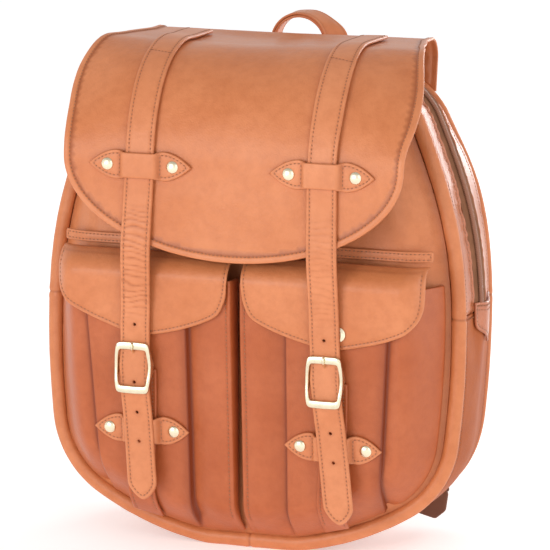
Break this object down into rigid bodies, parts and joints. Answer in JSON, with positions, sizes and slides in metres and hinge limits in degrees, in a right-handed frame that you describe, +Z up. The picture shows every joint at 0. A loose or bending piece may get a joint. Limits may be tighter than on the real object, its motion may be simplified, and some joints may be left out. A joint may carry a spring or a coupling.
{
  "type": "leather backpack",
  "caption": "Tan leather backpack with a zipped dome body, a long flap closed by buckled straps, bellows front pockets, a top handle and padded shoulder straps.",
  "frame": {"origin": "middle of the bag's outline on the floor that it stands on", "axes": "+Z up, -Y the front with the flap and pockets, +X the bag's right side seen from the front"},
  "size_m": [0.3618, 0.2203, 0.446],
  "materials": {
    "tan_leather": "smooth, satin, with fine grain",
    "dark_leather": "satin",
    "pale_brass": "brushed",
    "zip_brown": "woven tape with a moulded coil",
    "webbing": "woven",
    "lining_cloth": "plain weave",
    "foam_padding": "foam faced with cloth",
    "base_board": "matt"
  },
  "bodies": {
    "bag": {"front_panel": "tan_leather", "back_panel": "tan_leather", "lower_gusset": "tan_leather", "upper_gusset_front": "tan_leather", "upper_gusset_rear": "tan_leather", "front_piping": "tan_leather", "back_piping": "tan_leather", "zip_end_tab_left": "tan_leather", "zip_end_tab_right": "tan_leather", "pocket_left": "tan_leather", "pocket_right": "tan_leather", "pocket_trim_left": "tan_leather", "pocket_trim_right": "tan_leather", "chape_strap_left": "tan_leather", "chape_strap_right": "tan_leather", "lower_keeper_left": "tan_leather", "lower_keeper_right": "tan_leather", "shoulder_strap_left": "tan_leather", "shoulder_strap_right": "tan_leather", "flap_rear_strip": "tan_leather", "strap_yoke": "tan_leather", "zip_tape": "zip_brown", "buckle_frame_left": "pale_brass", "buckle_frame_right": "pale_brass", "lower_stud_left_outer": "pale_brass", "lower_stud_left_inner": "pale_brass", "lower_stud_right_outer": "pale_brass", "lower_stud_right_inner": "pale_brass", "lower_strap_left": "webbing", "lower_strap_right": "webbing", "strap_anchor_left": "dark_leather", "strap_anchor_right": "dark_leather", "lining_front": "lining_cloth", "lining_lower": "lining_cloth", "laptop_sleeve": "lining_cloth", "padded_back_lining": "foam_padding", "bottom_board": "base_board"},
    "main_flap": {"main_flap": "tan_leather", "flap_lining": "lining_cloth", "flap_strap_left": "tan_leather", "flap_strap_right": "tan_leather", "upper_keeper_left": "tan_leather", "upper_keeper_right": "tan_leather", "upper_stud_left_outer": "pale_brass", "upper_stud_left_inner": "pale_brass", "upper_stud_right_outer": "pale_brass", "upper_stud_right_inner": "pale_brass"},
    "closure_strap_left": {"closure_strap_left": "tan_leather"},
    "pocket_flap_left": {"pocket_flap_left": "tan_leather", "snap_cap_left": "pale_brass"},
    "buckle_prong_left": {"buckle_prong_left": "pale_brass"},
    "strap_adjuster_left": {"strap_adjuster_left": "pale_brass"},
    "closure_strap_right": {"closure_strap_right": "tan_leather"},
    "pocket_flap_right": {"pocket_flap_right": "tan_leather", "snap_cap_right": "pale_brass"},
    "buckle_prong_right": {"buckle_prong_right": "pale_brass"},
    "strap_adjuster_right": {"strap_adjuster_right": "pale_brass"},
    "handle": {"handle": "tan_leather"},
    "zip_slider": {"zip_slider": "pale_brass"},
    "zip_pull": {"zip_pull": "tan_leather"}
  },
  "joints": [
    {"name": "main_flap_lift", "type": "hinge", "parent": "bag", "child": "main_flap", "pos_m": [0, 0.0475, 0.4205], "axis": [-1, 0, 0], "range_deg": [0, 135], "deforming": ["closure_strap_left", "closure_strap_right"]},
    {"name": "pocket_flap_left_lift", "type": "hinge", "parent": "bag", "child": "pocket_flap_left", "pos_m": [-0.081, -0.0652, 0.2582], "axis": [-1, 0, 0], "range_deg": [0, 25]},
    {"name": "closure_strap_left_swing", "type": "hinge", "parent": "main_flap", "child": "closure_strap_left", "pos_m": [-0.0765, -0.1049, 0.3102], "axis": [-1, 0, 0], "range_deg": [0, 25]},
    {"name": "buckle_prong_left_turn", "type": "hinge", "parent": "bag", "child": "buckle_prong_left", "pos_m": [-0.081, -0.08672, 0.158], "axis": [1, 0, 0], "range_deg": [0, 85]},
    {"name": "pocket_flap_right_lift", "type": "hinge", "parent": "bag", "child": "pocket_flap_right", "pos_m": [0.081, -0.0652, 0.2582], "axis": [-1, 0, 0], "range_deg": [0, 25]},
    {"name": "closure_strap_right_swing", "type": "hinge", "parent": "main_flap", "child": "closure_strap_right", "pos_m": [0.0765, -0.1049, 0.3102], "axis": [-1, 0, 0], "range_deg": [0, 25]},
    {"name": "buckle_prong_right_turn", "type": "hinge", "parent": "bag", "child": "buckle_prong_right", "pos_m": [0.081, -0.08672, 0.158], "axis": [1, 0, 0], "range_deg": [0, 85]},
    {"name": "handle_tip", "type": "hinge", "parent": "bag", "child": "handle", "pos_m": [0, 0.0864, 0.3745], "axis": [-1, 0, 0], "range_deg": [0, 60], "stiffness_Nm_per_rad": 0.08, "springref_deg": -2.86},
    {"name": "zip_slide", "type": "hinge", "parent": "bag", "child": "zip_slider", "pos_m": [0.33184, 0.002, 0.19191], "axis": [0, 1, 0], "range_deg": [0, 9.5]},
    {"name": "zip_pull_swing", "type": "hinge", "parent": "zip_slider", "child": "zip_pull", "pos_m": [-0.17953, 0.002, 0.2699], "axis": [0, 1, 0], "range_deg": [0, 100]},
    {"name": "strap_adjuster_left_slide", "type": "slide", "parent": "bag", "child": "strap_adjuster_left", "axis": [-0.1855, -0.0956, -0.978], "range_m": [-0.008, 0.025]},
    {"name": "strap_adjuster_right_slide", "type": "slide", "parent": "bag", "child": "strap_adjuster_right", "axis": [0.1855, -0.0956, -0.978], "range_m": [-0.008, 0.025]}
  ],
  "couplings": [
    {"joint": "closure_strap_left_swing", "follows": "pocket_flap_left_lift", "ratio": 1},
    {"joint": "buckle_prong_left_turn", "follows": "pocket_flap_left_lift", "ratio": 3.4},
    {"joint": "closure_strap_right_swing", "follows": "pocket_flap_right_lift", "ratio": 1},
    {"joint": "buckle_prong_right_turn", "follows": "pocket_flap_right_lift", "ratio": 3.4}
  ]
}
